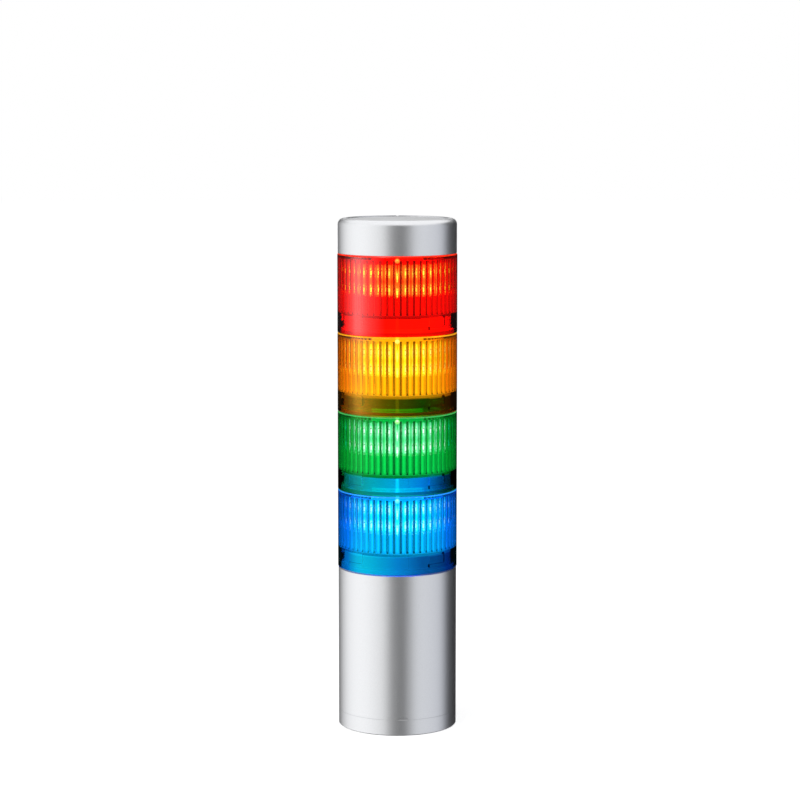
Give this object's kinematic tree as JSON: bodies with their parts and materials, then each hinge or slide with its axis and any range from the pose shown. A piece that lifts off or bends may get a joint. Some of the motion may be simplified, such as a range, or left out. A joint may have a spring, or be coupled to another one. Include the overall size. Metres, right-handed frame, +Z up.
{
  "type": "stack light",
  "caption": "Slim round signal tower: silver body and head, stacked clear LED units in blue, green, amber and red that twist apart on bayonet collars.",
  "frame": {"origin": "centre of the foot, on the face that the tower stands on", "axes": "+Z up along the tower's axis, -Y towards the viewer of the picture"},
  "size_m": [0.06, 0.0603, 0.2566],
  "materials": {
    "silver_finish": "satin silver paint on moulded resin",
    "grey_moulding": "fine moulded texture",
    "white_moulding": "smooth moulded",
    "white_board": "white solder mask",
    "green_board": "green solder mask",
    "green_terminals": "moulded",
    "black_header": "moulded",
    "black_sleeve": "shrunk sleeve",
    "dark_choke": "ferrite",
    "black_rubber": "matt",
    "milky_silicone": "satin",
    "contact_metal": "gold flash",
    "brass_inserts": "knurled",
    "plated_screws": "zinc plated",
    "blue_lens": "clear tinted resin, polished",
    "blue_led": "lit LED",
    "green_lens": "clear tinted resin, polished",
    "green_led": "lit LED",
    "amber_lens": "clear tinted resin, polished",
    "amber_led": "lit LED",
    "red_lens": "clear tinted resin, polished",
    "red_led": "lit LED"
  },
  "bodies": {
    "body": {"mounting_base": "silver_finish", "base_gasket": "black_rubber", "mount_inserts": "brass_inserts", "cable_grommet": "black_rubber", "body_case": "silver_finish", "body_neck": "grey_moulding", "tie_screws": "plated_screws", "main_board": "green_board", "terminal_block": "green_terminals", "terminal_screws": "plated_screws", "capacitors": "black_sleeve", "choke": "dark_choke", "line_header": "black_header", "body_contact_board": "green_board", "body_contact_pads": "contact_metal", "body_board_screws": "plated_screws", "body_seal": "milky_silicone"},
    "blue_unit": {"blue_globe": "blue_lens", "blue_led_holder": "white_moulding", "blue_led_board": "white_board", "blue_led_chips": "blue_led", "blue_driver_board": "green_board", "blue_contact_pins": "contact_metal", "blue_contact_board": "green_board", "blue_contact_pads": "contact_metal", "blue_screws": "plated_screws", "blue_seal": "milky_silicone"},
    "green_unit": {"green_globe": "green_lens", "green_led_holder": "white_moulding", "green_led_board": "white_board", "green_led_chips": "green_led", "green_driver_board": "green_board", "green_contact_pins": "contact_metal", "green_contact_board": "green_board", "green_contact_pads": "contact_metal", "green_screws": "plated_screws", "green_seal": "milky_silicone"},
    "amber_unit": {"amber_globe": "amber_lens", "amber_led_holder": "white_moulding", "amber_led_board": "white_board", "amber_led_chips": "amber_led", "amber_driver_board": "green_board", "amber_contact_pins": "contact_metal", "amber_contact_board": "green_board", "amber_contact_pads": "contact_metal", "amber_screws": "plated_screws", "amber_seal": "milky_silicone"},
    "red_unit": {"red_globe": "red_lens", "red_led_holder": "white_moulding", "red_led_board": "white_board", "red_led_chips": "red_led", "red_driver_board": "green_board", "red_contact_pins": "contact_metal", "red_contact_board": "green_board", "red_contact_pads": "contact_metal", "red_screws": "plated_screws", "red_seal": "milky_silicone"},
    "head": {"head_cover": "silver_finish"}
  },
  "joints": [
    {"name": "blue_unit_twist", "type": "hinge", "parent": "body", "child": "blue_unit", "pos_m": [0, 0, 0.081], "axis": [0, 0, 1], "range_deg": [0, 21]},
    {"name": "green_unit_twist", "type": "hinge", "parent": "blue_unit", "child": "green_unit", "pos_m": [0, 0, 0.1205], "axis": [0, 0, 1], "range_deg": [0, 21]},
    {"name": "amber_unit_twist", "type": "hinge", "parent": "green_unit", "child": "amber_unit", "pos_m": [0, 0, 0.16], "axis": [0, 0, 1], "range_deg": [0, 21]},
    {"name": "red_unit_twist", "type": "hinge", "parent": "amber_unit", "child": "red_unit", "pos_m": [0, 0, 0.1995], "axis": [0, 0, 1], "range_deg": [0, 21]},
    {"name": "head_twist", "type": "hinge", "parent": "red_unit", "child": "head", "pos_m": [0, 0, 0.239], "axis": [0, 0, 1], "range_deg": [0, 21]}
  ]
}
